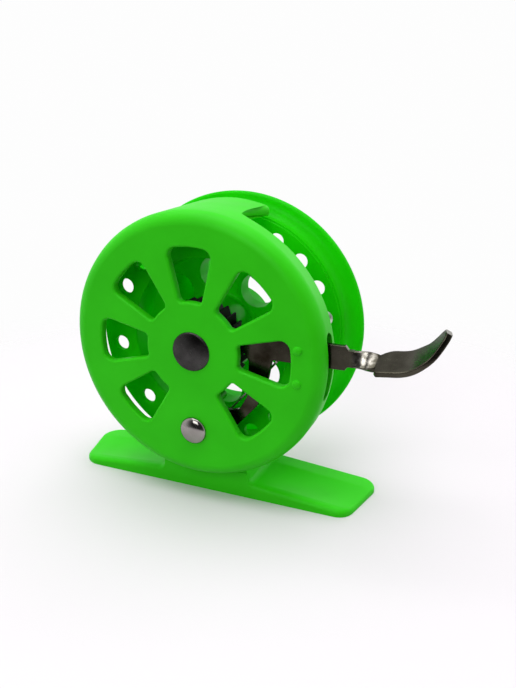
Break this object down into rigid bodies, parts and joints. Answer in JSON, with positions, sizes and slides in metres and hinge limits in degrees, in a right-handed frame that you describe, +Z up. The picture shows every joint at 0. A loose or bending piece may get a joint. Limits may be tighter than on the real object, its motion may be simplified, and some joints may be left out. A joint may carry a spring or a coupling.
{
  "type": "fishing reel",
  "caption": "Small trigger fishing reel: round windowed housing on a rod foot, drilled spool with a flared rim and winding knob, ratchet gear and a sprung steel thumb lever.",
  "frame": {"origin": "middle of the foot's flat base", "axes": "+Z up from the foot to the spool, +X along the foot towards the trigger, +Y from the windowed face back to the winding knob"},
  "size_m": [0.0909, 0.0396, 0.0673],
  "materials": {
    "green_plastic": "satin moulded",
    "black_plastic": "matt moulded",
    "trigger_steel": "tarnished sheet",
    "spindle_steel": "turned, dark",
    "bright_steel": "polished",
    "spring_steel": "drawn wire",
    "brass": "turned",
    "nylon": "punched sheet"
  },
  "bodies": {
    "frame": {"housing": "green_plastic", "foot": "green_plastic", "spindle": "spindle_steel", "spindle_collar": "spindle_steel", "front_washer": "nylon", "rear_washer": "spindle_steel", "retaining_screw": "bright_steel", "pivot_rivet": "bright_steel", "rivet_washer": "spindle_steel", "return_spring": "spring_steel"},
    "spool": {"spool": "green_plastic", "ratchet_gear": "black_plastic", "front_bush": "brass", "rear_bush": "brass", "knob_pin": "bright_steel", "knob_washer": "nylon", "knob_cap": "bright_steel"},
    "knob": {"winding_knob": "black_plastic"},
    "trigger": {"trigger_lever": "trigger_steel", "pivot_bush": "brass"}
  },
  "joints": [
    {"name": "spool_spin", "type": "hinge", "parent": "frame", "child": "spool", "pos_m": [0, 0.0024, 0.0363], "axis": [0, 1, 0], "continuous": true},
    {"name": "knob_spin", "type": "hinge", "parent": "spool", "child": "knob", "pos_m": [0.02282, 0.0176, 0.03991], "axis": [0, 1, 0], "continuous": true},
    {"name": "trigger_pivot", "type": "hinge", "parent": "frame", "child": "trigger", "pos_m": [0, -0.00955, 0.0177], "axis": [0, 1, 0], "range_deg": [0, 12], "stiffness_Nm_per_rad": 0.06, "springref_deg": -17.19, "deforming": ["return_spring"]}
  ]
}
